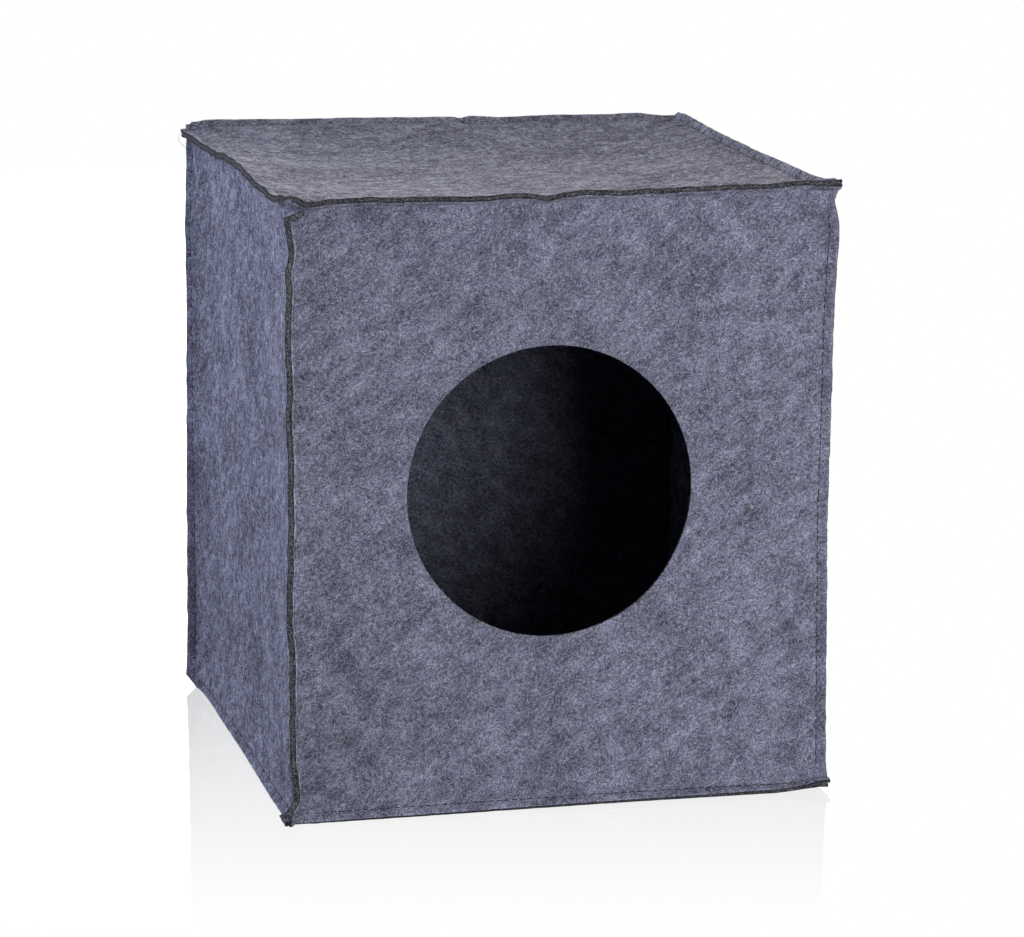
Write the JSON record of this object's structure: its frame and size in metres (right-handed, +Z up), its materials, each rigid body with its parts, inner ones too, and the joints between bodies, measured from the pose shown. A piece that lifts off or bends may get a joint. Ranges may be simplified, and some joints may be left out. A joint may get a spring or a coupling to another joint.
{
  "type": "cat house",
  "caption": "Soft cube-shaped cat house of stiff grey felt, sewn with outward seams, with a round entrance in the front.",
  "frame": {"origin": "on the ground, under the middle of the house", "axes": "+Z up, -Y out of the front with the round entrance, +X to the right of someone who looks at the front"},
  "size_m": [0.3446, 0.3446, 0.3838],
  "materials": {
    "felt": "matt needled felt, blue-grey with darker and lighter fibres",
    "thread": "dark grey polyester sewing thread, slight sheen"
  },
  "bodies": {
    "root": {"front_panel": "felt", "back_panel": "felt", "left_panel": "felt", "right_panel": "felt", "top_panel": "felt", "bottom_panel": "felt", "needle_thread_front_left": "thread", "needle_thread_front_right": "thread", "needle_thread_back_left": "thread", "needle_thread_back_right": "thread", "needle_thread_top_front": "thread", "needle_thread_top_back": "thread", "needle_thread_top_left": "thread", "needle_thread_top_right": "thread", "needle_thread_bottom_front": "thread", "needle_thread_bottom_back": "thread", "needle_thread_bottom_left": "thread", "needle_thread_bottom_right": "thread", "bobbin_thread_front_left": "thread", "bobbin_thread_front_right": "thread", "bobbin_thread_back_left": "thread", "bobbin_thread_back_right": "thread", "bobbin_thread_top_front": "thread", "bobbin_thread_top_back": "thread", "bobbin_thread_top_left": "thread", "bobbin_thread_top_right": "thread", "bobbin_thread_bottom_front": "thread", "bobbin_thread_bottom_back": "thread", "bobbin_thread_bottom_left": "thread", "bobbin_thread_bottom_right": "thread"}
  },
  "joints": []
}
